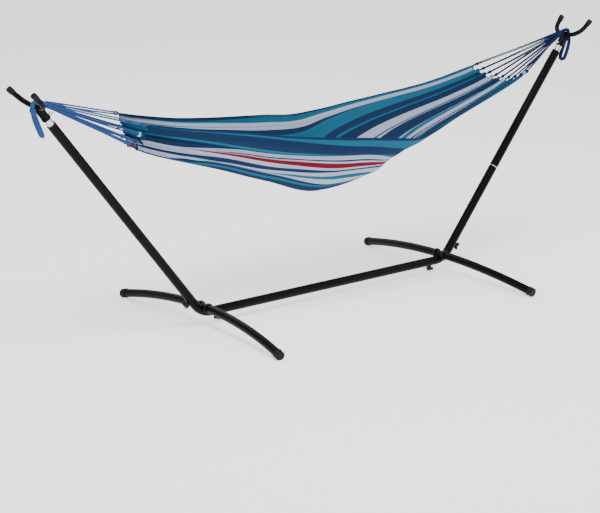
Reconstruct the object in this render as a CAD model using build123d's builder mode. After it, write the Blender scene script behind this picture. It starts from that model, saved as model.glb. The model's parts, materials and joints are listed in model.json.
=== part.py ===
from build123d import *
from math import asin, atan2, cos, degrees, hypot, pi, radians, sin
import os

# A hammock on a knock-down steel stand.
# Millimetres. +X runs along the stand, +Y to its rear, +Z up. The origin is on the floor, under the
# middle of the beam. The stand is the same at both ends; the bed hangs with its low point off centre.

SIDES = {"left": -1, "right": 1}
ENDS = {"front": -1, "rear": 1}

# Steel tubes: outer radius, bore radius, and the sleeves and inserts that push into them.
tube_radius = 20.0
tube_bore = 18.5
insert_radius = 18.2
insert_bore = 16.7
fit_gap = 0.3

# The stand's axis lines: the beam, and an upright that leans out from the elbow's corner.
beam_z = 59.0
corner_x = 706.0
hook_x = 1487.0
hook_z = 1059.0
upright_angle = degrees(atan2(hook_z - beam_z, hook_x - corner_x))
along_x = cos(radians(upright_angle))
along_z = sin(radians(upright_angle))

# The elbow, and how far its inserts reach into the beam and the upright.
bend_radius = 110.0
elbow_reach = 58.0
insert_reach = 145.0

# Distances up an upright from the corner.
upright_seam = 511.0
upright_top = 1161.0
seam_gap = 5.0
sleeve_half = 70.0

# The curved feet: each pair lies on one arc, in a plane that leans in at the top.
foot_crown_x = 689.0
foot_crown_z = 83.0
foot_end_x = 727.0
foot_end_z = 18.0
foot_half_width = 580.0
foot_drop = hypot(foot_end_x - foot_crown_x, foot_crown_z - foot_end_z)
foot_arc_radius = (foot_half_width**2 + foot_drop**2) / (2 * foot_drop)
foot_radius = 18.5
foot_bore = 17.1
stub_radius = 16.8
stub_bore = 15.3
stub_reach = 120.0
foot_ring_start = 22.5
foot_ring_end = 34.0
foot_ring_radius = 23.0

# The rubber cap on the end of each foot, with a lip, and cut flat where it stands.
cap_radius = 20.5
cap_lip_radius = 21.7
cap_lip_width = 4.0
cap_length = 27.0
cap_wall = 3.5
cap_dimple_radius = 3.0

# Lobed knobs and their bolts: how far from the corner they stand, and distances out from a tube's axis.
knob_place = 88.0
bolt_radius = 4.0
bolt_clearance = 0.05
bolt_inner_end = 4.0
bolt_outer_end = 35.0
knob_base = 20.8
knob_neck_radius = 9.0
knob_lobe_base = 29.0
knob_top = 41.0
knob_core_radius = 10.0
lobe_radius = 6.5
lobe_circle = 12.5
lobe_count = 3
nut_inner = 7.5
nut_outer = 14.2
nut_corner_radius = 7.4

# The plated spigot at the top of an upright, the hook on it, and the bush that guides it.
spigot_radius = 16.0
spigot_bore = 14.5
spigot_bottom = 1020.0
spigot_top = 1234.0
bush_length = 40.0
bush_flange = 3.0
hook_bottom = 1194.0
collar_radius = 19.5
collar_length = 12.0
neck_radius = 18.0
neck_top = 1240.0
crotch_place = 1262.0
hook_top_radius = 12.0

# The fork: one tube bent to a U that leans out more than the upright does.
fork_lean = 8.0
prong_radius = 11.0
prong_bore = 9.3
fork_bend = 66.0
fork_half_base = 80.0
fork_half_top = 94.0
fork_height = 97.0
prong_cap_radius = 13.0
prong_cap_length = 26.0
prong_cap_end = 3.5

# The wing screw that locks the hook on its spigot.
screw_place = 1200.0
screw_radius = 3.0
screw_inner_end = 16.4
screw_hub_base = 21.5
screw_hub_radius = 5.5
screw_hub_top = 30.0
wing_centre = 10.0
wing_height = 29.5
wing_radius = 6.0
wing_thickness = 2.6

# The rope over a hook: a hitch round the fork's tube, a hanging eye, and the start of the bundle.
rope_radius = 9.0
rope_rise = 20.0
hitch_radius = prong_radius + rope_radius + fit_gap
hitch_drop = 14.0
eye_rope_radius = 6.0
eye_half_width = 13.0
eye_length = 112.0
bundle_gap = 2.5
bundle_radius = 11.0
bundle_length = 34.0

# The bed: stations along it. Each has X, the half width and the height of the near edge, the lowest
# height, then the half width and the height of the far edge.
bed_stations = [
    (-1045, 105, 942, 838, 95, 960),
    (-900, 155, 918, 783, 145, 923),
    (-640, 225, 877, 697, 225, 867),
    (-385, 285, 834, 606, 285, 830),
    (-100, 340, 802, 519, 345, 796),
    (120, 348, 773, 544, 375, 771),
    (260, 328, 755, 636, 383, 774),
    (380, 297, 770, 678, 375, 786),
    (560, 252, 810, 732, 335, 811),
    (800, 206, 865, 805, 260, 853),
    (1055, 165, 934, 887, 181, 925),
]
bed_thickness = 4.0
bed_steps = 14

# The strings: pairs of cord, from the bundle to points along the end of the bed.
string_count = 9
string_radius = 2.8
string_pitch = 7.0
string_gap = 5.0
string_start_gap = 1.5

os.makedirs("parts", exist_ok=True)


def save(piece, name):
    """Label a finished piece and write it."""
    piece.part.label = name
    export_step(piece.part, f"parts/{name}.step")


def check_rope(name, piece, radius, length, bend):
    """Print a rope's length and bend, and its volume as a share of its section times its length."""
    share = piece.part.volume / (pi * radius**2 * length)
    print(name, "length", round(length, 1), "bend radius", bend, "volume share", round(share, 3))


def bed_point(station, spread):
    """A point on the bed's underside at a station. Spread is -1 at the near edge and 1 at the far."""
    station_x, near_width, near_edge, low_z, far_width, far_edge = station
    half_width, edge_z = (near_width, near_edge) if spread < 0 else (far_width, far_edge)
    return Vector(station_x, spread * half_width, low_z + (edge_z - low_z) * spread**2)


def upright_point(side, distance):
    """The point on an upright's axis at a distance from the elbow's corner."""
    return (side * (corner_x + distance * along_x), 0, beam_z + distance * along_z)


def upright_plane(side, distance):
    """The plane across an upright: its Z runs up the tube, and its Y to the side that faces the bed."""
    return Plane(
        origin=upright_point(side, distance),
        x_dir=(0, side, 0),
        z_dir=(side * along_x, 0, along_z),
    )


def upright_section(side, distance):
    """The plane that holds an upright's axis and +Y: its Y runs up the tube."""
    return Plane(
        origin=upright_point(side, distance),
        x_dir=(0, 1, 0),
        z_dir=(along_z, 0, -side * along_x),
    )


def screw_plane(side, member):
    """The plane on a tube's axis where a knob's bolt enters: its Z runs out through the knob."""
    if member == "beam":
        return Plane(
            origin=(side * (corner_x - knob_place), 0, beam_z),
            x_dir=(0, side, 0),
            z_dir=(0, 0, -1),
        )
    return Plane(
        origin=upright_point(side, knob_place),
        x_dir=(0, side, 0),
        z_dir=(side * along_z, 0, -along_x),
    )


def foot_plane(side):
    """The leaning plane of a pair of feet: its X is +Y, and its Y runs up to the crown."""
    lean_x = (foot_end_x - foot_crown_x) / foot_drop
    lean_z = (foot_crown_z - foot_end_z) / foot_drop
    return Plane(
        origin=(side * foot_crown_x, 0, foot_crown_z),
        x_dir=(0, 1, 0),
        z_dir=(lean_z, 0, side * lean_x),
    )


def foot_arc(side, first, last):
    """The feet's arc between two places across the stand, each given by its Y."""
    first_angle = 90 - degrees(asin(first / foot_arc_radius))
    last_angle = 90 - degrees(asin(last / foot_arc_radius))
    with BuildLine(foot_plane(side)) as arc:
        CenterArc((0, -foot_arc_radius), foot_arc_radius, first_angle, last_angle - first_angle)
    return arc.line


def elbow_path(side, reach):
    """The elbow's axis, from a distance along the beam to the same distance up the upright."""
    with BuildLine() as path:
        FilletPolyline(
            (side * (corner_x - reach), 0, beam_z),
            (side * corner_x, 0, beam_z),
            upright_point(side, reach),
            radius=bend_radius,
        )
    return path.line


def fork_plane(side):
    """The fork's plane: its origin is the bottom of the U, and its Y runs up between the prongs."""
    angle = radians(upright_angle - fork_lean)
    return Plane(
        origin=upright_point(side, crotch_place),
        x_dir=(0, 1, 0),
        z_dir=(sin(angle), 0, -side * cos(angle)),
    )


def fork_path(side):
    """The axis of the fork's bent tube, from the front prong's tip to the rear one's."""
    with BuildLine(fork_plane(side)) as path:
        FilletPolyline(
            (-fork_half_top, fork_height),
            (-fork_half_base, 0),
            (fork_half_base, 0),
            (fork_half_top, fork_height),
            radius=fork_bend,
        )
    return path.line


def sweep_round(path, radius, mode=Mode.ADD):
    """Sweep a round section along a path, in the part that is being built."""
    with BuildSketch(path ^ 0) as section:
        Circle(radius)
    sweep(section.sketch, path=path, mode=mode)


def extrude_ring(plane, outer, inner, length):
    """Extrude a ring from a plane, in the part that is being built."""
    with BuildSketch(plane) as ring:
        Circle(outer)
        Circle(inner, mode=Mode.SUBTRACT)
    extrude(ring.sketch, amount=length)


def drill(plane, radius, start, depth):
    """Drill a round hole from one distance out of a plane to another."""
    with BuildSketch(plane.offset(start)) as hole:
        Circle(radius)
    extrude(hole.sketch, amount=depth, mode=Mode.SUBTRACT)


# ---- Elbows: a bent tube with an insert at each end, and a stub across it for the two feet.
for side_name, side in SIDES.items():
    whole_path = elbow_path(side, insert_reach)
    outer_path = elbow_path(side, elbow_reach)
    stub_path = foot_arc(side, -stub_reach, stub_reach)
    with BuildPart() as elbow:
        sweep_round(outer_path, tube_radius)
        sweep_round(whole_path, insert_radius)
        sweep_round(stub_path, stub_radius)
        sweep_round(whole_path, insert_bore, Mode.SUBTRACT)
        sweep_round(stub_path, stub_bore, Mode.SUBTRACT)
        for member in ("beam", "upright"):
            drill(screw_plane(side, member), bolt_radius + bolt_clearance, nut_outer, tube_radius)
    save(elbow, f"elbow_{side_name}")

# ---- Beam: two tubes that meet in the middle over a sleeve.
beam_length = corner_x - elbow_reach - fit_gap
for side_name, side in SIDES.items():
    with BuildPart() as beam:
        extrude_ring(
            Plane(origin=(side * fit_gap, 0, beam_z), x_dir=(0, side, 0), z_dir=(side, 0, 0)),
            tube_radius,
            tube_bore,
            beam_length - fit_gap,
        )
        drill(screw_plane(side, "beam"), bolt_radius + bolt_clearance, nut_outer, tube_radius)
    save(beam, f"beam_{side_name}")

with BuildPart() as beam_sleeve:
    extrude_ring(
        Plane(origin=(-sleeve_half, 0, beam_z), x_dir=(0, 1, 0), z_dir=(1, 0, 0)),
        insert_radius,
        insert_bore,
        2 * sleeve_half,
    )
save(beam_sleeve, "beam_sleeve")

# ---- Uprights: a lower and an upper tube on a plated sleeve, which shows as a thin band between them.
for side_name, side in SIDES.items():
    with BuildPart() as lower_tube:
        extrude_ring(
            upright_plane(side, elbow_reach + fit_gap),
            tube_radius,
            tube_bore,
            upright_seam - seam_gap / 2 - elbow_reach - fit_gap,
        )
        drill(screw_plane(side, "upright"), bolt_radius + bolt_clearance, nut_outer, tube_radius)
    save(lower_tube, f"upright_{side_name}_lower")

    with BuildPart() as upper_tube:
        extrude_ring(
            upright_plane(side, upright_seam + seam_gap / 2),
            tube_radius,
            tube_bore,
            upright_top - upright_seam - seam_gap / 2,
        )
    save(upper_tube, f"upright_{side_name}_upper")

    with BuildPart() as sleeve:
        extrude_ring(
            upright_plane(side, upright_seam - sleeve_half),
            insert_radius,
            insert_bore,
            2 * sleeve_half,
        )
    save(sleeve, f"upright_sleeve_{side_name}")

# ---- Feet: a curved tube to the front and to the rear, a ring where each meets the elbow, and a cap.
for side_name, side in SIDES.items():
    for end_name, end in ENDS.items():
        tube_end = foot_half_width - cap_wall
        foot_path = foot_arc(side, end * (foot_ring_end + fit_gap), end * tube_end)
        with BuildPart() as foot:
            sweep_round(foot_path, foot_radius)
            sweep_round(foot_path, foot_bore, Mode.SUBTRACT)
        save(foot, f"foot_{side_name}_{end_name}")

        ring_path = foot_arc(side, end * foot_ring_start, end * foot_ring_end)
        with BuildPart() as foot_ring:
            sweep_round(ring_path, foot_ring_radius)
            sweep_round(ring_path, stub_radius + fit_gap, Mode.SUBTRACT)
        save(foot_ring, f"foot_ring_{side_name}_{end_name}")

        cap_plane = Plane(foot_path ^ 1)
        with BuildPart() as foot_cap:
            with BuildSketch(cap_plane.offset(cap_wall - cap_length)):
                Circle(cap_lip_radius)
            extrude(amount=cap_lip_width)
            with BuildSketch(cap_plane.offset(cap_wall - cap_length)):
                Circle(cap_radius)
            extrude(amount=cap_length)
            fillet(foot_cap.edges().sort_by(Axis(cap_plane.origin, cap_plane.z_dir))[-1], 2.0)
            with BuildSketch(cap_plane.offset(cap_wall - cap_length)):
                Circle(foot_radius + fit_gap)
            extrude(amount=cap_length - cap_wall, mode=Mode.SUBTRACT)
            with BuildSketch(cap_plane.offset(cap_wall)):
                Circle(cap_dimple_radius)
            extrude(amount=-cap_wall / 2, mode=Mode.SUBTRACT)
            split(bisect_by=Plane.XY, keep=Keep.TOP)
        save(foot_cap, f"foot_cap_{side_name}_{end_name}")

# ---- Knobs, their bolts, and the nuts that are welded inside the elbow's inserts.
for side_name, side in SIDES.items():
    for member in ("beam", "upright"):
        place = screw_plane(side, member)
        with BuildPart() as knob:
            with BuildSketch(place.offset(knob_base)):
                Circle(knob_neck_radius)
            extrude(amount=knob_top - knob_base)
            with BuildSketch(place.offset(knob_lobe_base)):
                Circle(knob_core_radius)
                with PolarLocations(lobe_circle, lobe_count):
                    Circle(lobe_radius)
            extrude(amount=knob_top - knob_lobe_base)
            fillet(knob.faces().sort_by(Axis(place.origin, place.z_dir))[-1].edges(), 2.0)
            drill(place, bolt_radius + bolt_clearance, knob_base, bolt_outer_end + fit_gap - knob_base)
        save(knob, f"knob_{member}_{side_name}")

        with BuildPart() as bolt:
            with BuildSketch(place.offset(bolt_inner_end)):
                Circle(bolt_radius)
            extrude(amount=bolt_outer_end - bolt_inner_end)
        save(bolt, f"bolt_{member}_{side_name}")

with BuildPart() as weld_nuts:
    for side in SIDES.values():
        for member in ("beam", "upright"):
            with BuildSketch(screw_plane(side, member).offset(nut_inner)):
                RegularPolygon(nut_corner_radius, 6)
                Circle(bolt_radius + bolt_clearance, mode=Mode.SUBTRACT)
            extrude(amount=nut_outer - nut_inner)
save(weld_nuts, "weld_nuts")

# ---- Spigots, the bushes that guide them, and the hooks on top.
for side_name, side in SIDES.items():
    with BuildPart() as spigot:
        extrude_ring(
            upright_plane(side, spigot_bottom), spigot_radius, spigot_bore, spigot_top - spigot_bottom
        )
    save(spigot, f"spigot_{side_name}")

    with BuildPart() as bush:
        extrude_ring(
            upright_plane(side, upright_top - bush_length),
            tube_bore - fit_gap,
            spigot_radius + fit_gap,
            bush_length,
        )
        extrude_ring(
            upright_plane(side, upright_top), tube_radius, spigot_radius + fit_gap, bush_flange
        )
    save(bush, f"top_bush_{side_name}")

    hook_axis = Axis(upright_point(side, hook_bottom), (side * along_x, 0, along_z))
    bore_radius = spigot_radius + fit_gap
    bore_depth = spigot_top + fit_gap - hook_bottom
    prongs = fork_path(side)
    with BuildPart() as hook:
        with BuildSketch(upright_section(side, hook_bottom)):
            with BuildLine():
                Polyline(
                    (0, bore_depth),
                    (bore_radius, bore_depth),
                    (bore_radius, 0),
                    (collar_radius, 0),
                    (collar_radius, collar_length),
                    (neck_radius, collar_length + 2),
                    (neck_radius, neck_top - hook_bottom),
                    (hook_top_radius, crotch_place - hook_bottom),
                    (0, crotch_place - hook_bottom),
                    close=True,
                )
            make_face()
        revolve(axis=hook_axis)
        sweep_round(prongs, prong_radius)
        sweep_round(prongs, prong_bore, Mode.SUBTRACT)
        clamp_plane = Plane(
            origin=upright_point(side, screw_place),
            x_dir=(0, side, 0),
            z_dir=(-side * along_z, 0, along_x),
        )
        drill(clamp_plane, screw_radius + bolt_clearance, spigot_radius, collar_radius)
    save(hook, f"hook_{side_name}")

    for end_name, end in ENDS.items():
        tip_plane = Plane(prongs ^ (0 if end < 0 else 1))
        outward = -1 if end < 0 else 1
        with BuildPart() as prong_cap:
            with BuildSketch(tip_plane.offset(outward * prong_cap_end)):
                Circle(prong_cap_radius)
            extrude(amount=-outward * prong_cap_length)
            tip_axis = Axis(tip_plane.origin, tip_plane.z_dir * outward)
            fillet(prong_cap.edges().sort_by(tip_axis)[-1], 3.0)
            with BuildSketch(tip_plane):
                Circle(prong_radius + fit_gap)
            extrude(amount=-outward * prong_cap_length, mode=Mode.SUBTRACT)
        save(prong_cap, f"prong_cap_{side_name}_{end_name}")

    # The wing screw stands on the hook's collar, on the side that faces the bed.
    with BuildPart() as wing_screw:
        with BuildSketch(clamp_plane.offset(screw_inner_end)):
            Circle(screw_radius)
        extrude(amount=screw_hub_top - screw_inner_end)
        with BuildSketch(clamp_plane.offset(screw_hub_base)):
            Circle(screw_hub_radius)
        extrude(amount=screw_hub_top - screw_hub_base)
        wing_plane = Plane(
            origin=clamp_plane.origin, x_dir=clamp_plane.x_dir, z_dir=clamp_plane.y_dir
        )
        wing_sign = 1 if wing_plane.y_dir.dot(clamp_plane.z_dir) > 0 else -1
        with BuildSketch(wing_plane):
            with Locations((-wing_centre, wing_sign * wing_height), (wing_centre, wing_sign * wing_height)):
                Circle(wing_radius)
            with Locations((0, wing_sign * (wing_height - wing_radius / 2))):
                Rectangle(2 * wing_centre, wing_radius)
        extrude(amount=wing_thickness / 2, both=True)
    save(wing_screw, f"wing_screw_{side_name}")

# ---- Rope over each hook: over the fork's tube, down its outer side, and on to a hanging eye.
for side_name, side in SIDES.items():
    crotch = Vector(*upright_point(side, crotch_place))
    rise = radians(rope_rise)
    start = crotch + Vector(-side * hitch_radius * sin(rise), 0, hitch_radius * cos(rise))
    outer = crotch + Vector(side * hitch_radius, 0, 0)
    shoulder = crotch + Vector(side * hitch_radius * cos(radians(35)), 0, hitch_radius * sin(radians(35)))
    with BuildLine() as hitch_path:
        ThreePointArc(start, shoulder, outer)
        Line(outer, outer - Vector(0, 0, hitch_drop))
    with BuildPart() as hitch:
        sweep_round(hitch_path.line, rope_radius)
    save(hitch, f"hitch_{side_name}")
    hitch_length = sum(edge.length for edge in hitch_path.edges())
    check_rope(f"hitch_{side_name}", hitch, rope_radius, hitch_length, hitch_radius)

    eye_top = outer.Z - hitch_drop - eye_rope_radius - fit_gap
    eye_plane = Plane(origin=(outer.X, 0, eye_top), x_dir=(0, 1, 0), z_dir=(1, 0, 0))
    with BuildLine(eye_plane) as eye_path:
        eye_bottom = -eye_length + 2 * eye_rope_radius
        CenterArc((0, -eye_half_width), eye_half_width, 0, 180)
        Line((-eye_half_width, -eye_half_width), (-eye_half_width, eye_bottom + eye_half_width))
        CenterArc((0, eye_bottom + eye_half_width), eye_half_width, 180, 180)
        Line((eye_half_width, eye_bottom + eye_half_width), (eye_half_width, -eye_half_width))
    with BuildPart() as eye:
        sweep_round(eye_path.line, eye_rope_radius)
    save(eye, f"eye_{side_name}")
    eye_rope_length = sum(edge.length for edge in eye_path.edges())
    check_rope(f"eye_{side_name}", eye, eye_rope_radius, eye_rope_length, eye_half_width)

    # The bundle leaves the hitch in line with it, towards the bed.
    toward_bed = Vector(-side * cos(rise), 0, -sin(rise))
    over_bundle = Vector(-side * sin(rise), 0, cos(rise))
    bundle_start = start + toward_bed * bundle_gap
    bundle_plane = Plane(origin=bundle_start, x_dir=(0, 1, 0), z_dir=toward_bed)
    with BuildPart() as bundle:
        with BuildSketch(bundle_plane):
            Circle(rope_radius)
        with BuildSketch(bundle_plane.offset(bundle_length)):
            Circle(bundle_radius)
        loft()
    save(bundle, f"bundle_{side_name}")

    # Strings: three rows of three at the bundle, spread along the end of the bed. They are straight.
    end_station = bed_stations[0 if side < 0 else -1]
    strings_from = bundle_start + toward_bed * (bundle_length + string_start_gap)
    strings_length = 0
    with BuildPart() as strings:
        for index in range(string_count):
            column = index // 3 - 1
            row = (index % 3 - 1) * (column or 1)
            row_shift = over_bundle * (row * string_pitch)
            near_end = strings_from + Vector(0, column * string_pitch, 0) + row_shift
            run = bed_point(end_station, 2 * index / (string_count - 1) - 1) - near_end
            length = run.length - string_gap
            strings_length += length
            with BuildSketch(Plane(origin=near_end, z_dir=run)):
                Circle(string_radius)
            extrude(amount=length)
    save(strings, f"strings_{side_name}")
    check_rope(f"strings_{side_name}", strings, string_radius, strings_length, "straight")

# ---- Bed: a thin trough through the stations, straight-faced between them.
with BuildPart() as bed:
    for station in bed_stations:
        lower = []
        upper = []
        for step in range(bed_steps + 1):
            spread = 2 * step / bed_steps - 1
            point = bed_point(station, spread)
            half_width = station[1] if spread < 0 else station[4]
            edge_z = station[2] if spread < 0 else station[5]
            slope = 2 * (edge_z - station[3]) * spread / half_width
            steep = hypot(1, slope)
            lower.append((point.Y, point.Z))
            upper.append(
                (point.Y - bed_thickness * slope / steep, point.Z + bed_thickness / steep)
            )
        with BuildSketch(Plane.YZ.offset(station[0])):
            with BuildLine():
                Polyline(*lower, *reversed(upper), close=True)
            make_face()
    loft(ruled=True)
save(bed, "bed_fabric")

# Figures for the record, in metres.
for side_name, side in SIDES.items():
    crotch = Vector(*upright_point(side, crotch_place))
    print(side_name, "crotch axis", [round(v / 1000, 4) for v in tuple(crotch)])
    print(side_name, "upright angle", round(upright_angle, 2), "foot arc radius", round(foot_arc_radius))
print("rope start height", round(start.Z / 1000, 4), "x", round(start.X / 1000, 4))
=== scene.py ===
import json
import math
import random

import bpy
import numpy as np
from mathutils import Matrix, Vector


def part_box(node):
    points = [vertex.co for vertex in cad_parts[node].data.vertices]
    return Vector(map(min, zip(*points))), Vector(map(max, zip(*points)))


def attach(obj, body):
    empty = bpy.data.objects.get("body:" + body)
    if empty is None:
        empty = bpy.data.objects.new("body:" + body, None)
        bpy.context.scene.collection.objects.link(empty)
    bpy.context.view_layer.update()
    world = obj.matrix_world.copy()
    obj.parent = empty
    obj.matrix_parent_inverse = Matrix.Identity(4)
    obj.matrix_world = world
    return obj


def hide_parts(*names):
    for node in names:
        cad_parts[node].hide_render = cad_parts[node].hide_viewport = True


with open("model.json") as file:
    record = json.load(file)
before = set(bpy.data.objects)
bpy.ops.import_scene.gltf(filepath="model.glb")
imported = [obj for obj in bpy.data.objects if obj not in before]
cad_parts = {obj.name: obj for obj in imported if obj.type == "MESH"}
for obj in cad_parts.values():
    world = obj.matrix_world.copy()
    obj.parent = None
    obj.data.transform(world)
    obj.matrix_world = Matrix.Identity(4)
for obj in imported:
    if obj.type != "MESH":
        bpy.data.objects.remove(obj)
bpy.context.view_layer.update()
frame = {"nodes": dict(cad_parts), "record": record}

# A striped cotton hammock on a black steel stand. Metres, in the frame's own axes: +X along the
# stand, +Y to its rear, +Z up, with the origin on the floor. The bed's stations and the start of the
# rope repeat the CAD's. The other pieces on the forks are placed from the frame's own boxes.

SIDES = {"left": -1, "right": 1}
random.seed(7)
noise_source = np.random.default_rng(7)

# ---- Camera ----------------------------------------------------------------------------------

view_azimuth = math.radians(-38.595)
view_elevation = math.radians(15.461)
view_distance = 8.56
view_lens = 115.4
view_target = Vector((-0.163, 0.0, 0.218))

camera_data = bpy.data.cameras.new("camera")
camera_data.lens = view_lens
camera_data.sensor_width = 36.0
camera = bpy.data.objects.new("camera", camera_data)
bpy.context.collection.objects.link(camera)
view_back = Vector((
    math.sin(view_azimuth) * math.cos(view_elevation),
    -math.cos(view_azimuth) * math.cos(view_elevation),
    math.sin(view_elevation),
))
camera.location = view_target + view_back * view_distance
camera.rotation_euler = view_back.to_track_quat("Z", "Y").to_euler()
bpy.context.scene.camera = camera

# ---- Materials -------------------------------------------------------------------------------


class Shader:
    """A material's node tree, with short ways to add and join nodes."""

    def __init__(self, name, **settings):
        self.material = bpy.data.materials.new(name)
        self.material.use_nodes = True
        self.nodes = self.material.node_tree.nodes
        self.links = self.material.node_tree.links
        self.surface = self.nodes["Principled BSDF"]
        for socket, value in settings.items():
            self.surface.inputs[socket.replace("_", " ")].default_value = value

    def add(self, kind, inputs=None, **properties):
        node = self.nodes.new(kind)
        for key, value in properties.items():
            setattr(node, key, value)
        for key, value in (inputs or {}).items():
            if isinstance(value, bpy.types.NodeSocket):
                self.links.new(value, node.inputs[key])
            else:
                node.inputs[key].default_value = value
        return node

    def coordinates(self, kind="Object"):
        return self.add("ShaderNodeTexCoord").outputs[kind]

    def noise(self, vector, scale, detail=3.0, roughness=0.5):
        node = self.add(
            "ShaderNodeTexNoise",
            {"Vector": vector, "Scale": scale, "Detail": detail, "Roughness": roughness},
        )
        return node.outputs["Fac"]

    def math(self, operation, first, second, third=None):
        inputs = {0: first, 1: second}
        if third is not None:
            inputs[2] = third
        return self.add("ShaderNodeMath", inputs, operation=operation).outputs[0]

    def mix(self, factor, first, second, blend="MIX"):
        node = self.add("ShaderNodeMix", {"Factor": factor}, data_type="RGBA", blend_type=blend)
        for key, value in ((6, first), (7, second)):
            if isinstance(value, bpy.types.NodeSocket):
                self.links.new(value, node.inputs[key])
            else:
                node.inputs[key].default_value = value
        return node.outputs[2]

    def span(self, value, low, high):
        """Take a value from 0 to 1 to the span from low to high."""
        node = self.add("ShaderNodeMapRange", {"Value": value, "To Min": low, "To Max": high})
        return node.outputs["Result"]

    def bump(self, height, distance, strength=1.0, under=None):
        inputs = {"Height": height, "Distance": distance, "Strength": strength}
        if under is not None:
            inputs["Normal"] = under
        return self.add("ShaderNodeBump", inputs).outputs["Normal"]

    def use(self, socket, value):
        self.links.new(value, self.surface.inputs[socket])

    def tint(self, factor, dark, light):
        """Let the base colour run from dark to light with a factor."""
        self.use("Base Color", self.mix(factor, rgba(*dark), rgba(*light)))


def rgba(red, green, blue):
    return (red, green, blue, 1.0)


def powder_coat():
    """Satin black powder coat: fine orange peel, a little dust, and dull patches."""
    shader = Shader("powder_coat", Specular_IOR_Level=0.07)
    place = shader.coordinates()
    peel = shader.noise(place, 620.0, 2.0)
    speck = shader.noise(place, 2600.0, 1.0)
    patch = shader.noise(place, 9.0, 4.0)
    shader.tint(patch, (0.0022, 0.0022, 0.0025), (0.0045, 0.0045, 0.005))
    shader.use("Roughness", shader.span(patch, 0.27, 0.43))
    fine = shader.bump(speck, 0.00003)
    shader.use("Normal", shader.bump(peel, 0.00012, under=fine))
    return shader.material


def zinc_plate():
    """Bright zinc plate: faint cloudy spots and a fine grain."""
    shader = Shader("zinc_plate", Metallic=1.0)
    place = shader.coordinates()
    cloud = shader.noise(place, 60.0, 4.0)
    grain = shader.noise(place, 1500.0, 2.0)
    shader.tint(cloud, (0.62, 0.62, 0.6), (0.88, 0.88, 0.86))
    shader.use("Roughness", shader.span(cloud, 0.22, 0.42))
    shader.use("Normal", shader.bump(grain, 0.00003))
    return shader.material


def moulded_plastic():
    """Black moulded plastic with a fine spark-eroded grain."""
    shader = Shader("moulded_plastic", Specular_IOR_Level=0.2)
    place = shader.coordinates()
    grain = shader.noise(place, 1100.0, 3.0)
    patch = shader.noise(place, 25.0, 3.0)
    shader.tint(patch, (0.004, 0.004, 0.0045), (0.009, 0.009, 0.0095))
    shader.use("Roughness", shader.span(patch, 0.34, 0.5))
    shader.use("Normal", shader.bump(grain, 0.0001))
    return shader.material


def matt_rubber():
    """Black rubber, dull, with a soft grain and a trace of dust."""
    shader = Shader("matt_rubber", Specular_IOR_Level=0.15)
    place = shader.coordinates()
    grain = shader.noise(place, 800.0, 3.0)
    dust = shader.noise(place, 45.0, 5.0, 0.65)
    shader.tint(dust, (0.005, 0.005, 0.005), (0.013, 0.0125, 0.012))
    shader.use("Roughness", shader.span(dust, 0.55, 0.75))
    shader.use("Normal", shader.bump(grain, 0.00015))
    return shader.material


def cotton_cord(name, deep, light):
    """Dyed cotton cord: fibres run along it, and the dye is uneven."""
    shader = Shader(name, Roughness=0.88, Specular_IOR_Level=0.1)
    along = shader.coordinates("UV")
    stretched = shader.add("ShaderNodeMapping", {"Vector": along, "Scale": (60.0, 9.0, 1.0)}).outputs[0]
    fibre = shader.noise(stretched, 12.0, 4.0, 0.7)
    dye = shader.noise(shader.coordinates(), 14.0, 3.0)
    mixed = shader.math("MULTIPLY_ADD", fibre, 0.6, shader.math("MULTIPLY", dye, 0.4))
    shader.tint(mixed, deep, light)
    shader.use("Normal", shader.bump(fibre, 0.0004))
    return shader.material


DYES = {
    "navy": rgba(0.006, 0.026, 0.082),
    "teal": rgba(0.010, 0.130, 0.225),
    "pale": rgba(0.44, 0.48, 0.64),
    "sage": rgba(0.16, 0.26, 0.32),
    "red": rgba(0.20, 0.001, 0.014),
}
# The stripes of the cloth from the near edge to the far one. Each has its dye, then the share of the
# hanging width that shows at four places along the bed, in thousandths: folds hide the rest of it.
STRIPE_PLACES = (-0.95, -0.57, -0.05, 0.6)
STRIPES = [
    ("navy", 12, 6, 8, 14), ("teal", 5, 14, 38, 120), ("navy", 60, 68, 50, 39),
    ("teal", 38, 58, 3, 100), ("navy", 76, 4, 1, 27), ("pale", 14, 12, 12, 3),
    ("sage", 3, 4, 7, 2), ("pale", 6, 10, 14, 3), ("navy", 3, 8, 13, 4), ("pale", 4, 4, 14, 3),
    ("red", 13, 33, 32, 3), ("pale", 57, 48, 16, 4), ("navy", 65, 42, 18, 22),
    ("pale", 5, 24, 26, 44), ("teal", 12, 8, 28, 50), ("pale", 50, 3, 60, 3),
    ("navy", 20, 28, 14, 10), ("teal", 10, 30, 18, 2), ("navy", 45, 40, 103, 110),
    ("pale", 40, 50, 45, 2), ("teal", 18, 18, 20, 18), ("pale", 90, 100, 100, 110),
    ("navy", 90, 100, 100, 55), ("teal", 14, 16, 20, 12), ("navy", 50, 50, 40, 72),
    ("teal", 98, 118, 84, 100), ("navy", 14, 22, 32, 3), ("pale", 4, 12, 22, 4),
    ("teal", 28, 8, 2, 1), ("pale", 33, 30, 20, 30), ("teal", 1, 12, 32, 25),
    ("navy", 22, 18, 2, 1), ("pale", 1, 2, 6, 4),
]
LEAST_STRIPE = 6      # thousandths of the flat cloth's width, for a stripe that folds mostly hide
STRIPE_WANDER = 0.0004
WEAVE_PITCH = 0.0016
PALE_WEFT = rgba(0.40, 0.46, 0.58)
SLUB_SHADE = rgba(0.02, 0.04, 0.08)
FADED_DYE = rgba(0.30, 0.36, 0.46)
stripe_shows = np.array([stripe[1:] for stripe in STRIPES], float)
stripe_cuts = np.vstack([np.zeros((1, len(STRIPE_PLACES))), np.cumsum(stripe_shows, axis=0)])
stripe_cuts /= stripe_cuts[-1]
cloth_cuts = np.concatenate([[0.0], np.cumsum(np.maximum(stripe_shows[:, 2], LEAST_STRIPE))])
cloth_cuts /= cloth_cuts[-1]


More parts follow.
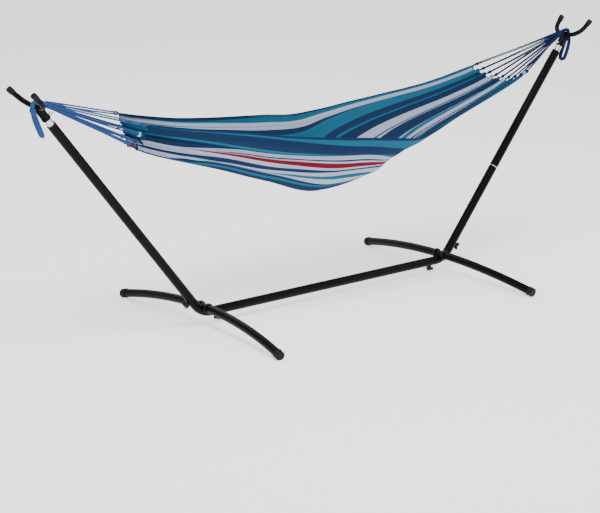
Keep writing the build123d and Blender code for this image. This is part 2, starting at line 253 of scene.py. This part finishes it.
def stripe_ramp(shader, across, first, last, starts):
    """A colour ramp with hard edges for the stripes from first to last."""
    node = shader.add("ShaderNodeValToRGB", {"Fac": across})
    ramp = node.color_ramp
    ramp.interpolation = "CONSTANT"
    for count, index in enumerate(range(first, last)):
        stop = ramp.elements[count] if count < 2 else ramp.elements.new(starts[index])
        stop.position = starts[index]
        stop.color = DYES[STRIPES[index][0]]
    return node.outputs["Color"]


def thread_bands(shader, metres, direction):
    """Bands a thread apart. At scale 1, Blender's wave texture has 20 / 2 pi bands in a metre."""
    wave_scale = 2 * math.pi / WEAVE_PITCH / 20.0
    return shader.add(
        "ShaderNodeTexWave",
        {"Vector": metres, "Scale": wave_scale, "Distortion": 0.6, "Detail": 1.0},
        wave_type="BANDS",
        bands_direction=direction,
    ).outputs["Fac"]


def striped_cotton(length, width):
    """Woven stripes: dyed warp threads, a pale weft that shows between them, slubs and fading."""
    shader = Shader("striped_cotton", Roughness=0.92, Specular_IOR_Level=0.06)
    split = shader.add("ShaderNodeSeparateXYZ", {"Vector": shader.coordinates("UV")})
    starts = cloth_cuts.tolist()
    wander = shader.noise(shader.coordinates("UV"), 30.0, 2.0)
    across = shader.math("ADD", split.outputs["Y"], shader.span(wander, -STRIPE_WANDER, STRIPE_WANDER))
    # A ramp holds 32 stops at most, so two of them share the stripes.
    half = len(STRIPES) // 2
    near_ramp = stripe_ramp(shader, across, 0, half, starts)
    far_ramp = stripe_ramp(shader, across, half, len(STRIPES), starts)
    on_far_half = shader.math("GREATER_THAN", across, starts[half])
    dye = shader.mix(on_far_half, near_ramp, far_ramp)

    # Threads, by true distance along and across the cloth.
    metres = shader.add(
        "ShaderNodeMapping", {"Vector": shader.coordinates("UV"), "Scale": (length, width, 1.0)}
    ).outputs[0]
    warp, weft = (thread_bands(shader, metres, direction) for direction in "YX")
    weave = shader.math("MULTIPLY", warp, weft)
    slub_place = shader.add("ShaderNodeMapping", {"Vector": metres, "Scale": (9.0, 260.0, 1.0)}).outputs[0]
    slub = shader.noise(slub_place, 1.0, 4.0, 0.6)
    fade = shader.noise(metres, 7.0, 4.0)
    woven = shader.mix(shader.span(weave, 0.0, 0.035), dye, PALE_WEFT)
    dark = shader.mix(shader.span(slub, 0.0, 0.32), woven, SLUB_SHADE, "MULTIPLY")
    faded = shader.mix(shader.span(fade, 0.0, 0.015), dark, FADED_DYE)
    tuft = shader.noise(metres, 420.0, 2.0, 0.7)
    shade = shader.span(tuft, 0.62, 1.38)
    tone = shader.add("ShaderNodeCombineColor", {"Red": shade, "Green": shade, "Blue": shade})
    shader.use("Base Color", shader.mix(1.0, faded, tone.outputs[0], "MULTIPLY"))
    slub_bump = shader.bump(slub, 0.0004)
    shader.use("Normal", shader.bump(weave, 0.0005, under=slub_bump))
    return shader.material


coat = powder_coat()
zinc = zinc_plate()
plastic = moulded_plastic()
rubber = matt_rubber()
cords = {
    "left": cotton_cord("cord_blue", (0.012, 0.040, 0.15), (0.045, 0.105, 0.28)),
    "right": cotton_cord("cord_navy", (0.003, 0.010, 0.042), (0.010, 0.030, 0.10)),
}
red_thread = cotton_cord("thread_red", (0.16, 0.002, 0.012), (0.36, 0.010, 0.030))
pale_thread = cotton_cord("thread_pale", (0.50, 0.52, 0.58), (0.78, 0.80, 0.84))

SLOT_MATERIALS = {
    "black_steel": coat,
    "plated_steel": zinc,
    "black_plastic": plastic,
    "black_rubber": rubber,
}
# The left upright's seam shows no bright band, so the sleeve in it is coated like the tubes.
NODE_MATERIALS = {"upright_sleeve_left": coat}


def paint_frame():
    """Give each CAD node that stays in sight its procedural material."""
    slots = {part["node"]: part["material_slot"] for part in frame["record"]["subparts"]}
    for name, node in frame["nodes"].items():
        material = NODE_MATERIALS.get(name, SLOT_MATERIALS.get(slots[name]))
        if material is None:
            continue
        for index in range(max(1, len(node.material_slots))):
            if index < len(node.material_slots):
                node.material_slots[index].material = material
            else:
                node.data.materials.append(material)


paint_frame()

# ---- Curves and tubes ------------------------------------------------------------------------


def smooth_line(points):
    """The points of a NURBS spline that has the given control points."""
    data = bpy.data.curves.new("route", "CURVE")
    data.dimensions = "3D"
    data.resolution_u = 24
    spline = data.splines.new("NURBS")
    spline.points.add(len(points) - 1)
    for control, point in zip(spline.points, points):
        control.co = (*point, 1.0)
    spline.order_u = 3
    spline.use_endpoint_u = True
    holder = bpy.data.objects.new("route", data)
    bpy.context.collection.objects.link(holder)
    bpy.context.view_layer.update()
    mesh = bpy.data.meshes.new_from_object(holder.evaluated_get(bpy.context.evaluated_depsgraph_get()))
    line = np.array([vertex.co for vertex in mesh.vertices], float)
    bpy.data.objects.remove(holder)
    bpy.data.meshes.remove(mesh)
    bpy.data.curves.remove(data)
    return line


def respaced(line, step):
    """The same line with points a step apart, and the distance of each along it."""
    runs = np.linalg.norm(np.diff(line, axis=0), axis=1)
    reach = np.concatenate([[0.0], np.cumsum(runs)])
    keep = np.concatenate([[True], runs > 1e-9])
    count = max(3, int(reach[-1] / step) + 1)
    places = np.linspace(0.0, reach[-1], count)
    spaced = np.stack([np.interp(places, reach[keep], line[keep, axis]) for axis in range(3)], axis=1)
    return spaced, places


def carried_frames(line):
    """Two unit vectors across the line at each point, carried along it without twist."""
    tangents = np.gradient(line, axis=0)
    tangents /= np.linalg.norm(tangents, axis=1)[:, None]
    first = np.cross(tangents[0], (0.0, 0.0, 1.0))
    if np.linalg.norm(first) < 0.1:
        first = np.cross(tangents[0], (0.0, 1.0, 0.0))
    sides = np.zeros_like(line)
    side = first / np.linalg.norm(first)
    for index, tangent in enumerate(tangents):
        side = side - tangent * np.dot(side, tangent)
        side /= np.linalg.norm(side)
        sides[index] = side
    return sides, np.cross(tangents, sides)


def lobed_tube(name, line, radius, lobes, depth, lay, around, material):
    """A mesh tube along a line. Its outline has lobes that turn once in each lay, like a twisted cord.

    radius is a number, or one for each point. depth is the share of it that lies between the lobes."""
    sides, ups = carried_frames(line)
    runs = np.linalg.norm(np.diff(line, axis=0), axis=1)
    reach = np.concatenate([[0.0], np.cumsum(runs)])
    radii = np.broadcast_to(radius, len(line))
    angles = np.linspace(0.0, 2 * math.pi, around, endpoint=False)
    turn = 2 * math.pi * reach / lay
    crest = np.abs(np.cos(0.5 * lobes * (angles[None, :] - turn[:, None])))
    outline = radii[:, None] * (1.0 - depth + depth * crest)
    rings = (
        line[:, None, :]
        + (outline * np.cos(angles))[:, :, None] * sides[:, None, :]
        + (outline * np.sin(angles))[:, :, None] * ups[:, None, :]
    )
    faces = []
    for ring in range(len(line) - 1):
        for spoke in range(around):
            beside = (spoke + 1) % around
            faces.append((
                ring * around + spoke,
                ring * around + beside,
                (ring + 1) * around + beside,
                (ring + 1) * around + spoke,
            ))
    faces.append(tuple(reversed(range(around))))
    faces.append(tuple(range((len(line) - 1) * around, len(line) * around)))
    mesh = bpy.data.meshes.new(name)
    mesh.from_pydata(rings.reshape(-1, 3).tolist(), [], faces)
    layer = mesh.uv_layers.new(name="UVMap")
    values = []
    for ring in range(len(line) - 1):
        for spoke in range(around):
            low, high = reach[ring] / lay, reach[ring + 1] / lay
            values += [low, spoke / around, low, (spoke + 1) / around]
            values += [high, (spoke + 1) / around, high, spoke / around]
    values += [0.0] * (4 * around)
    layer.data.foreach_set("uv", values)
    mesh.polygons.foreach_set("use_smooth", [True] * len(mesh.polygons))
    mesh.update()
    made = bpy.data.objects.new(name, mesh)
    made.data.materials.append(material)
    bpy.context.collection.objects.link(made)
    return made


# ---- The bed's shape ---------------------------------------------------------------------------

# Stations along the hanging bed: X, near half width, near edge height, lowest height, far half width,
# far edge height. They are the CAD bed's.
STATIONS = np.array([
    (-1.045, 0.105, 0.942, 0.838, 0.095, 0.960),
    (-0.900, 0.155, 0.918, 0.783, 0.145, 0.923),
    (-0.640, 0.225, 0.877, 0.697, 0.225, 0.867),
    (-0.385, 0.285, 0.834, 0.606, 0.285, 0.830),
    (-0.100, 0.340, 0.802, 0.519, 0.345, 0.796),
    (0.120, 0.348, 0.773, 0.544, 0.375, 0.771),
    (0.260, 0.328, 0.755, 0.636, 0.383, 0.774),
    (0.380, 0.297, 0.770, 0.678, 0.375, 0.786),
    (0.560, 0.252, 0.810, 0.732, 0.335, 0.811),
    (0.800, 0.206, 0.865, 0.805, 0.260, 0.853),
    (1.055, 0.165, 0.934, 0.887, 0.181, 0.925),
])
BED_START, BED_END = STATIONS[0, 0], STATIONS[-1, 0]


def along_bed(place, column):
    """A smooth curve through one column of the stations, without overshoot between them."""
    known, values = STATIONS[:, 0], STATIONS[:, column]
    runs = np.diff(known)
    grades = np.diff(values) / runs
    slopes = np.zeros(len(known))
    slopes[0], slopes[-1] = grades[0], grades[-1]
    for inner in range(1, len(known) - 1):
        before, after = grades[inner - 1], grades[inner]
        if before * after > 0:
            slopes[inner] = 2 * before * after / (before + after)
    index = np.clip(np.searchsorted(known, place) - 1, 0, len(known) - 2)
    part = (place - known[index]) / runs[index]
    rise = part * part * (3 - 2 * part)
    start_bow = part * (1 - part) ** 2 * runs[index] * slopes[index]
    end_bow = -part * part * (1 - part) * runs[index] * slopes[index + 1]
    return values[index] * (1 - rise) + values[index + 1] * rise + start_bow + end_bow


# ---- Ropes and strings ------------------------------------------------------------------------

# The rope leaves the hitch at ROPE_START, given here for the right side, and falls at ROPE_RISE to the
# bed. Both are the CAD rope's, and so is the gap that lets the bundle turn against the hitch.
ROPE_START = (1.4758, 0.0, 1.0727)
ROPE_RISE = math.radians(20.0)
BUNDLE_GAP = 0.0025
BUNDLE_LENGTH = 0.034
BUNDLE_OVERLAP = 0.006
BUNDLE_RADIUS = 0.0084
BUNDLE_SWELL = 0.0026
STRING_COUNT = 9
STRING_PITCH = 0.007
STRING_START_GAP = 0.0015
CORD_RADIUS = {"left": 0.0033, "right": 0.0026}
STRAND_HALF_GAP = {"left": 0.0036, "right": 0.0030}
LOOP_NECK = 0.014      # how far before the bed a string's two strands begin to part
LOOP_REACH = 0.003     # how far the loop goes over the end hem
LOOP_WIDENING = 1.3    # the gap of the strands in the loop, as a share of the gap at the bundle
LEAST_SAG, SAG_SPREAD, STRAY = 0.0015, 0.002, 0.0012
LINE_STEP = 0.0015
STRING_STEP = 0.0016
TIE_THREADS = {("left", 3): red_thread, ("left", 1): pale_thread}
TIE_SETBACK = 0.012
TIE_LENGTH = 0.009
TIE_WIRE = 0.0013


def bundle_line(side):
    """The bundle's start and its direction towards the bed, on one side."""
    start = Vector((side * ROPE_START[0], 0.0, ROPE_START[2]))
    toward = Vector((-side * math.cos(ROPE_RISE), 0.0, -math.sin(ROPE_RISE)))
    return start + toward * BUNDLE_GAP, toward


def gather_point(side, spread):
    """Where a string takes hold of the end of the bed: spread runs from -1 to 1 across it."""
    place, near_width, near_edge, low, far_width, far_edge = STATIONS[0 if side < 0 else -1]
    half_width, edge = (near_width, near_edge) if spread < 0 else (far_width, far_edge)
    return Vector((place, spread * half_width, edge - (edge - low) * (1 - spread**2)))


def string_route(side_name, index):
    """Control points of one string: from the bundle to the bed, round the hem's loop, and back."""
    side = SIDES[side_name]
    start, toward = bundle_line(side)
    over = Vector((-side * math.sin(ROPE_RISE), 0.0, math.cos(ROPE_RISE)))
    column = index // 3 - 1
    row = (index % 3 - 1) * (column or 1)
    near = start + toward * (BUNDLE_LENGTH + STRING_START_GAP)
    near = near + Vector((0.0, column * STRING_PITCH, 0.0)) + over * (row * STRING_PITCH)
    spread = 2 * index / (STRING_COUNT - 1) - 1
    far = gather_point(side, spread)
    along = (far - near).normalized()
    beside = (gather_point(side, min(1, spread + 0.1)) - gather_point(side, max(-1, spread - 0.1)))
    beside = (beside - along * beside.dot(along)).normalized()
    sag = Vector((0.0, 0.0, -LEAST_SAG - SAG_SPREAD * random.random()))
    route = []
    for sign in (-1, 1):
        gap = beside * (sign * STRAND_HALF_GAP[side_name])
        drift = Vector([random.uniform(-STRAY, STRAY) for _ in range(3)])
        leg = [
            near + gap,
            near.lerp(far, 0.33) + gap * 1.3 + sag + drift,
            near.lerp(far, 0.67) + gap * 1.4 + sag - drift,
            far + gap * 1.1 - along * LOOP_NECK,
            far + gap * LOOP_WIDENING + along * LOOP_REACH,
        ]
        route += leg if sign < 0 else leg[::-1]
    return route


def make_string(side_name, index):
    """One doubled string, which is a single cord with both its ends in the bundle."""
    radius = CORD_RADIUS[side_name]
    line, places = respaced(smooth_line(string_route(side_name, index)), STRING_STEP)
    string = lobed_tube(
        f"string_{side_name}_{index + 1}", line, radius, lobes=3, depth=0.10, lay=0.021, around=12,
        material=cords[side_name],
    )
    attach(string, "hammock")
    if index == 0:
        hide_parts(f"strings_{side_name}")


def whipping(name, start, axis, length, radius, wire, turns, body, material):
    """A thin cord wound round a bundle in close turns."""
    across = axis.orthogonal().normalized()
    third = axis.cross(across)
    steps_per_turn = 20
    steps = turns * steps_per_turn
    points = []
    for step in range(steps + 1):
        angle = 2 * math.pi * step / steps_per_turn
        centre = start + axis * (length * step / steps)
        points.append(
            centre + across * (radius * math.cos(angle)) + third * (radius * math.sin(angle))
        )
    coil = lobed_tube(
        name, np.array(points, float), wire, lobes=2, depth=0.12, lay=0.006, around=8, material=material
    )
    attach(coil, body)


def make_tie(side_name, index):
    """A few turns of thread that close one string's loop. The loop is the middle of the route."""
    route = string_route(side_name, index)
    middle = len(route) // 2
    hold = (route[middle - 1] + route[middle]) / 2
    back = ((route[middle - 3] + route[middle + 2]) / 2 - hold).normalized()
    whipping(
        f"tie_{side_name}_{index + 1}", hold + back * TIE_SETBACK, back, length=TIE_LENGTH,
        radius=CORD_RADIUS[side_name] + STRAND_HALF_GAP[side_name] * LOOP_WIDENING, wire=TIE_WIRE,
        turns=4, body="hammock", material=TIE_THREADS.get((side_name, index), cords[side_name]),
    )


def make_bundle(side_name):
    """The bundle: many cords side by side, opening a little towards the strings."""
    start, toward = bundle_line(SIDES[side_name])
    far = start + toward * (BUNDLE_LENGTH + BUNDLE_OVERLAP)
    line, places = respaced(np.array([start, far], float), LINE_STEP)
    radii = BUNDLE_RADIUS + BUNDLE_SWELL * places / places[-1]
    bundle = lobed_tube(
        f"bundle_{side_name}", line, radii, lobes=14, depth=0.16, lay=0.30, around=84,
        material=cords[side_name],
    )
    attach(bundle, "hammock")
    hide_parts(f"bundle_{side_name}")
    whipping(
        f"whipping_{side_name}", start + toward * 0.003, toward, length=0.017, radius=0.0092,
        wire=0.0011, turns=8, body="hammock", material=cords[side_name],
    )


# The rope over the fork, and the eye that hangs from it. The eye leans in towards the upright.
HITCH_RADIUS = 0.0088
HITCH_HALF_THICKNESS = 0.009
HITCH_BEND = 0.0203    # radius of the hitch's centre line over the crotch of the fork
EYE_RADIUS = {"left": 0.0090, "right": 0.0088}
EYE_HALF_GAP = {"left": 0.0085, "right": 0.0150}
EYE_LEAN = 0.038
EYE_TUCK = 0.004       # how far the eye's ends go up into the hitch
EYE_LEG = (
    (0.35, 0.0), (0.5, 0.10), (0.95, 0.25), (1.05, 0.5), (1.08, 0.78), (0.9, 0.99), (0.3, 1.01)
)


def make_hitch(side_name, outer_x):
    """The rope from the bundle over the crotch of the fork and down its outer side."""
    side = SIDES[side_name]
    low, high = (Vector(corner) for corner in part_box(f"hitch_{side_name}"))
    start = Vector((side * ROPE_START[0], 0.0, ROPE_START[2]))
    top = high.z - HITCH_HALF_THICKNESS
    route = [
        start,
        Vector((start.x + side * 0.008, 0.0, top + 0.0005)),
        Vector((outer_x - side * 0.003, 0.0, top - 0.001)),
        Vector((outer_x + side * 0.0003, 0.0, top - HITCH_BEND + 0.006)),
        Vector((outer_x, 0.0, low.z)),
    ]
    line, _ = respaced(smooth_line(route), LINE_STEP)
    hitch = lobed_tube(
        f"hitch_{side_name}", line, HITCH_RADIUS, lobes=12, depth=0.16, lay=0.09, around=72,
        material=cords[side_name],
    )
    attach(hitch, "stand")
    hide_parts(f"hitch_{side_name}")
    return hitch


def make_eye(side_name, outer_x, top_z, bottom_z):
    """One rope down the front leg, round the bottom and up the rear leg, with its ends in the hitch."""
    side = SIDES[side_name]
    radius = EYE_RADIUS[side_name]
    route = []
    for sign, leg in ((-1, EYE_LEG), (1, EYE_LEG[::-1])):
        for spread, depth in leg:
            lean = -side * EYE_LEAN * depth**1.3
            across = sign * spread * EYE_HALF_GAP[side_name]
            route.append(Vector((outer_x + lean, across, top_z - (top_z - bottom_z) * depth)))
    line, places = respaced(smooth_line(route), LINE_STEP)
    eye = lobed_tube(
        f"eye_{side_name}", line, radius, lobes=7, depth=0.16, lay=0.050, around=56,
        material=cords[side_name],
    )
    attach(eye, "stand")
    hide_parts(f"eye_{side_name}")


def make_fray(side_name, start):
    """The frayed end of a thread, which hangs from the bottom of the eye."""
    side = SIDES[side_name]
    line, _ = respaced(smooth_line([
        start,
        start + Vector((-side * 0.004, -0.004, -0.010)),
        start + Vector((-side * 0.006, 0.002, -0.020)),
    ]), 0.001)
    fray = lobed_tube(
        f"fray_{side_name}", line, 0.0013, lobes=2, depth=0.2, lay=0.004, around=8,
        material=pale_thread if side_name == "left" else cords["right"],
    )
    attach(fray, "stand")


def make_rope(side_name):
    """All that hangs on the fork of one side."""
    eye_low, eye_high = (Vector(corner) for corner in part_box(f"eye_{side_name}"))
    hitch_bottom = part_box(f"hitch_{side_name}")[0][2]
    outer_x = (eye_low.x + eye_high.x) / 2
    bottom_z = eye_low.z + EYE_RADIUS[side_name]
    hitch = make_hitch(side_name, outer_x)
    make_eye(side_name, outer_x, hitch_bottom + EYE_TUCK, bottom_z)
    # A cord wound round the top of the eye holds its legs together.
    whipping(
        f"eye_whipping_{side_name}", Vector((outer_x, 0.0, hitch_bottom + 0.010)),
        Vector((0.0, 0.0, -1.0)), length=0.016, radius=0.0108, wire=0.0026, turns=4, body="stand",
        material=cords[side_name],
    )
    make_fray(side_name, Vector((outer_x - SIDES[side_name] * EYE_LEAN, 0.0, bottom_z - 0.002)))


for make in (make_string, make_tie):
    for side_name in SIDES:
        for index in range(STRING_COUNT):
            make(side_name, index)
for side_name in SIDES:
    make_bundle(side_name)
for side_name in SIDES:
    make_rope(side_name)

# ---- The bed ---------------------------------------------------------------------------------

FLAT_WIDTH = 0.95
FLAT_LENGTH = 2.2
CLOTH_THICKNESS = 0.0014
HEM_RADIUS = 0.0032
END_HEM_RADIUS = 0.0024
STEPS_ALONG = 240
COLUMN_PITCH = 0.0045  # how far apart the mesh's columns are, where the cloth shows in full
SLOPE_REACH = 0.004    # how far to each side of a point the slope of its section is taken
CALM_MARGIN = 0.06     # share of the width, at each edge, over which ripples and creases die out

# At the ends: depth and reach along the bed, left then right.
PLEAT_DEPTH, PLEAT_REACH = (0.016, 0.012), (0.40, 0.32)
CREASE_DEPTH, CREASE_REACH = (0.004, 0.003), (0.22, 0.20)
SCALLOP_DEPTH, SCALLOP_REACH = (0.014, 0.022), (0.05, 0.06)
CREASE_COUNT, CREASE_TWIST = 31, 2.0

# In the middle: soft ripples, each with its waves across the bed, their drift along it and height.
RIPPLE_HEIGHT, SLACK_REACH = 0.003, 0.25
RIPPLES = ((3.1, 1.3, 1.0), (5.3, -1.9, 0.8), (9.1, 2.6, 0.5), (15.7, -3.3, 0.3))


def fade_from_end(distance, reach):
    """A share that falls from 1 at an end of the bed to nearly 0 past its reach."""
    return np.exp(-((distance / reach) ** 1.3))


def section(place):
    """A dense cross-section of the hanging cloth at one place along it, near edge first."""
    near_width, near_edge, low, far_width, far_edge = (
        float(along_bed(place, column)) for column in range(1, STATIONS.shape[1])
    )
    spread = np.linspace(-1.0, 1.0, 401)
    half_width = np.where(spread < 0, near_width, far_width)
    edge = np.where(spread < 0, near_edge, far_edge)
    return spread * half_width, low + (edge - low) * spread**2


def shown_shares(place, threads):
    """Where threads of the cloth lie across the hanging bed at one place along it, as shares."""
    index = int(np.clip(np.searchsorted(STRIPE_PLACES, place) - 1, 0, len(STRIPE_PLACES) - 2))
    low, high = STRIPE_PLACES[index], STRIPE_PLACES[index + 1]
    part = float(np.clip((place - low) / (high - low), 0.0, 1.0))
    rise = part * part * (3 - 2 * part)
    cuts = stripe_cuts[:, index] * (1 - rise) + stripe_cuts[:, index + 1] * rise
    return np.interp(threads, cloth_cuts, cuts)


def thread_columns(pitch):
    """The threads that the mesh's columns follow: both edges of each stripe, and steps between."""
    threads = [0.0]
    for index, shows in enumerate(stripe_shows.max(axis=1)):
        steps = max(2, round(shows / 1000 / pitch))
        threads += np.linspace(cloth_cuts[index], cloth_cuts[index + 1], steps + 1)[1:].tolist()
    return np.array(threads)


gathers = STRING_COUNT - 1
fold_size = noise_source.uniform(0.75, 1.25, gathers)
fold_skew = noise_source.uniform(-0.3, 0.3, gathers)
phases = noise_source.uniform(0, 2 * math.pi, 8)
ripple_phase, crease_phase = phases[:4], phases[6]


def between_strings(shares):
    """For each share of the width: which gap between two strings it is in, and how far across it."""
    cell = np.clip((shares * gathers).astype(int), 0, gathers - 1)
    return cell, shares * gathers - cell


def bed_offset(place, shares):
    """How far the cloth stands off its smooth section, from pleats at the ends and soft ripples."""
    from_left = place - BED_START
    from_right = BED_END - place
    cell, within = between_strings(shares)
    pleat = (
        PLEAT_DEPTH[0] * fade_from_end(from_left, PLEAT_REACH[0])
        + PLEAT_DEPTH[1] * fade_from_end(from_right, PLEAT_REACH[1])
    )
    billow = np.sin(math.pi * within) ** 2 * fold_size[cell]
    second = fold_skew[cell] * np.sin(2 * math.pi * within) * np.sin(math.pi * within)
    crease = (
        CREASE_DEPTH[0] * np.exp(-from_left / CREASE_REACH[0])
        + CREASE_DEPTH[1] * np.exp(-from_right / CREASE_REACH[1])
    )
    fine = np.sin(2 * math.pi * CREASE_COUNT * shares + crease_phase + CREASE_TWIST * place)
    slack = 1.0 - math.exp(-min(from_left, from_right) / SLACK_REACH)
    ripple = sum(
        height * np.sin(2 * math.pi * waves * shares + phase + drift * place)
        for (waves, drift, height), phase in zip(RIPPLES, ripple_phase)
    )
    calm = np.clip(np.minimum(shares, 1 - shares) / CALM_MARGIN, 0, 1)
    return pleat * (billow + second) + (crease * fine + RIPPLE_HEIGHT * slack * ripple) * calm


def bed_row(place, threads):
    """One row of the cloth's points, at one place along the bed, with scallops between strings."""
    across, height = section(place)
    runs = np.hypot(np.diff(across), np.diff(height))
    reach = np.concatenate([[0.0], np.cumsum(runs)])
    shares = shown_shares(place, threads)
    run = shares * reach[-1]
    y, ahead_y, behind_y = (
        np.interp(run + step, reach, across) for step in (0.0, SLOPE_REACH, -SLOPE_REACH)
    )
    z, ahead_z, behind_z = (
        np.interp(run + step, reach, height) for step in (0.0, SLOPE_REACH, -SLOPE_REACH)
    )
    slope_y, slope_z = ahead_y - behind_y, ahead_z - behind_z
    stand_off = bed_offset(place, shares) / np.hypot(slope_y, slope_z)
    scallop = np.abs(np.sin(math.pi * between_strings(shares)[1])) ** 0.8
    pull = (
        SCALLOP_DEPTH[0] * fade_from_end(place - BED_START, SCALLOP_REACH[0])
        - SCALLOP_DEPTH[1] * fade_from_end(BED_END - place, SCALLOP_REACH[1])
    )
    return np.stack([place + scallop * pull, y + slope_z * stand_off, z - slope_y * stand_off], axis=1)


def cloth_mesh(name, grid, u_shares, v_shares):
    """A mesh of quads over a grid of points, with UVs along and across the cloth."""
    rows, columns = grid.shape[:2]
    faces = []
    values = []
    for row in range(rows - 1):
        for column in range(columns - 1):
            first = row * columns + column
            faces.append((first, first + columns, first + columns + 1, first + 1))
            low_u, high_u = u_shares[row], u_shares[row + 1]
            low_v, high_v = v_shares[column], v_shares[column + 1]
            values += [low_u, low_v, high_u, low_v, high_u, high_v, low_u, high_v]
    mesh = bpy.data.meshes.new(name)
    mesh.from_pydata(grid.reshape(-1, 3).tolist(), [], faces)
    mesh.uv_layers.new(name="UVMap").data.foreach_set("uv", values)
    mesh.polygons.foreach_set("use_smooth", [True] * len(mesh.polygons))
    mesh.update()
    made = bpy.data.objects.new(name, mesh)
    bpy.context.collection.objects.link(made)
    return made


def thicken(piece, thickness):
    """Turn an open sheet into a closed one of a real thickness."""
    solid = piece.modifiers.new("thickness", "SOLIDIFY")
    solid.thickness = thickness
    solid.offset = 0.0
    bpy.context.view_layer.objects.active = piece
    bpy.ops.object.modifier_apply(modifier=solid.name)
    piece.data.polygons.foreach_set("use_smooth", [True] * len(piece.data.polygons))


cotton = striped_cotton(FLAT_LENGTH, FLAT_WIDTH)
threads = thread_columns(COLUMN_PITCH)
row_shares = np.linspace(0.0, 1.0, STEPS_ALONG + 1)
bed_grid = np.array([bed_row(BED_START + (BED_END - BED_START) * share, threads) for share in row_shares])
bed = cloth_mesh("bed_cloth", bed_grid, row_shares, threads)
bed.data.materials.append(cotton)
thicken(bed, CLOTH_THICKNESS)
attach(bed, "hammock")
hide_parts("bed_fabric")


def make_hem(name, line, radius, **twist):
    """A round edge of the cloth, made with the navy cord's material."""
    hem = lobed_tube(name, line, radius, material=cords["right"], **twist)
    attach(hem, "hammock")


# The selvedges: the cloth's two long edges are rolled to a thin round hem.
for edge_name, column in (("near", 0), ("far", -1)):
    edge_line = bed_grid[:, column, :]
    make_hem(f"hem_{edge_name}", edge_line, HEM_RADIUS, lobes=2, depth=0.10, lay=0.009, around=12)

# The end hems: a cord runs in the fold of each end, from string to string.
for side_name, row in (("left", 0), ("right", -1)):
    end_line, _ = respaced(bed_grid[row], LINE_STEP)
    make_hem(f"end_hem_{side_name}", end_line, END_HEM_RADIUS, lobes=3, depth=0.16, lay=0.014, around=14)

# ---- Floor and light -------------------------------------------------------------------------

floor_shader = Shader(
    "floor",
    Base_Color=rgba(0.9, 0.9, 0.9),
    Emission_Color=rgba(1.0, 1.0, 1.0),
    Emission_Strength=1.0,
    Roughness=0.9,
    Specular_IOR_Level=0.1,
)
bpy.ops.mesh.primitive_plane_add(size=60.0, location=(0.0, 0.0, -0.0005))
floor = bpy.context.object
floor.name = "floor"
floor.data.materials.append(floor_shader.material)

world = bpy.data.worlds.new("studio")
world.use_nodes = True
world.node_tree.nodes["Background"].inputs["Color"].default_value = rgba(1.0, 1.0, 1.0)
world.node_tree.nodes["Background"].inputs["Strength"].default_value = 0.75
bpy.context.scene.world = world


def area_light(name, place, target, size, power):
    data = bpy.data.lights.new(name, "AREA")
    data.shape = "SQUARE"
    data.size = size
    data.energy = power
    lamp = bpy.data.objects.new(name, data)
    lamp.location = place
    lamp.rotation_euler = (Vector(place) - Vector(target)).to_track_quat("Z", "Y").to_euler()
    bpy.context.collection.objects.link(lamp)


middle = (0.0, 0.0, 0.6)
area_light("key", (-1.6, -2.2, 5.2), middle, 2.2, 250.0)
area_light("fill", (4.0, -2.5, 3.0), middle, 3.5, 60.0)
area_light("back", (1.0, 4.5, 4.0), middle, 3.5, 70.0)
